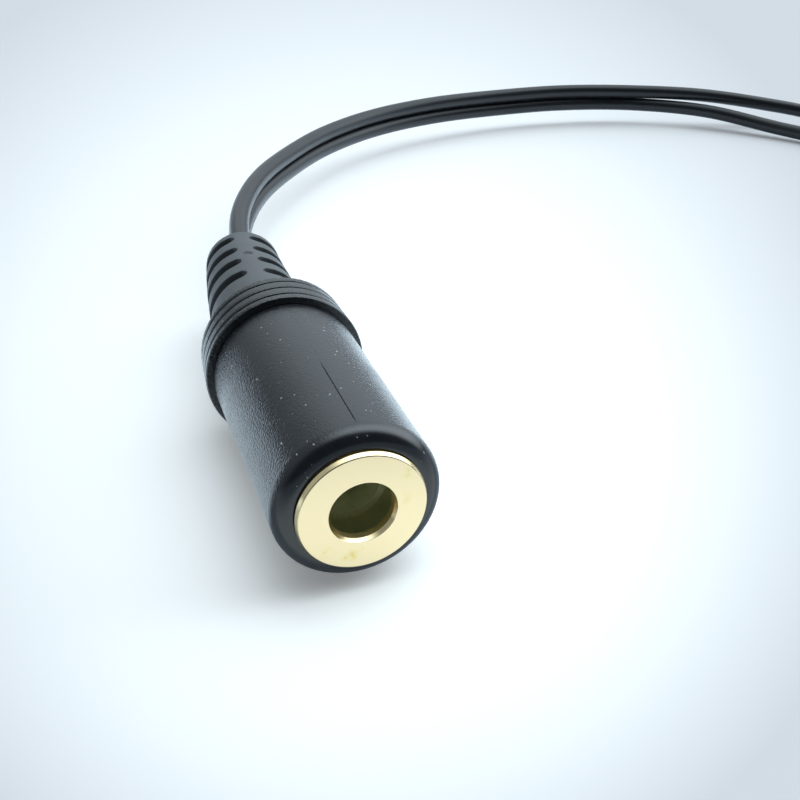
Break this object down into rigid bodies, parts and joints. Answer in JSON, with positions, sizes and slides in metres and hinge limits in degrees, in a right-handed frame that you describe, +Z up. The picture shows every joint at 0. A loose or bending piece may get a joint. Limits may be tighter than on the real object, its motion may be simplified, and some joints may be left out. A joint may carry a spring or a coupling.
{
  "type": "jack to phono adapter",
  "caption": "Inline 3.5 mm stereo jack socket with a gilt ring, ribbed collar and slotted boot, on short paired leads that end in phono plugs.",
  "frame": {"origin": "middle of the socket (barrel, collar and boot) on the table, measured without the leads and plugs", "axes": "+Y along the socket from its mouth to its boot, +Z up from the table, +X towards the side where the leads go"},
  "size_m": [0.114, 0.0979, 0.0116],
  "materials": {
    "gilt_ring": "polished gilt",
    "barrel_plastic": "fine spark-eroded grain",
    "carrier_plastic": "matt moulded",
    "contact_metal": "rolled strip",
    "tinned_metal": "tinned",
    "copper_strand": "bare copper",
    "solder": "bright",
    "inner_plastic": "matt moulded",
    "boot_plastic": "matt soft moulding",
    "lead_jacket": "satin extruded",
    "grip_plastic": "matt soft moulding",
    "white_band": "satin",
    "red_band": "satin",
    "plug_metal": "nickel plated",
    "insulator_white": "matt moulded",
    "wire_insulation": "extruded"
  },
  "bodies": {
    "root": {"sleeve_bush": "gilt_ring", "front_barrel": "barrel_plastic", "contact_carrier": "carrier_plastic", "tip_spring": "contact_metal", "ring_spring": "contact_metal", "earth_lug": "tinned_metal", "left_core_wire": "copper_strand", "right_core_wire": "copper_strand", "left_shield_tail": "copper_strand", "right_shield_tail": "copper_strand", "solder_joints": "solder", "inner_mould": "inner_plastic", "rear_boot": "boot_plastic", "left_lead": "lead_jacket", "right_lead": "lead_jacket", "left_plug_grip": "grip_plastic", "left_colour_band": "white_band", "left_earth_shell": "plug_metal", "left_centre_pin": "plug_metal", "left_pin_insulator": "insulator_white", "left_plug_core": "inner_plastic", "left_plug_wire": "wire_insulation", "right_plug_grip": "grip_plastic", "right_colour_band": "red_band", "right_earth_shell": "plug_metal", "right_centre_pin": "plug_metal", "right_pin_insulator": "insulator_white", "right_plug_core": "inner_plastic", "right_plug_wire": "wire_insulation"}
  },
  "joints": []
}
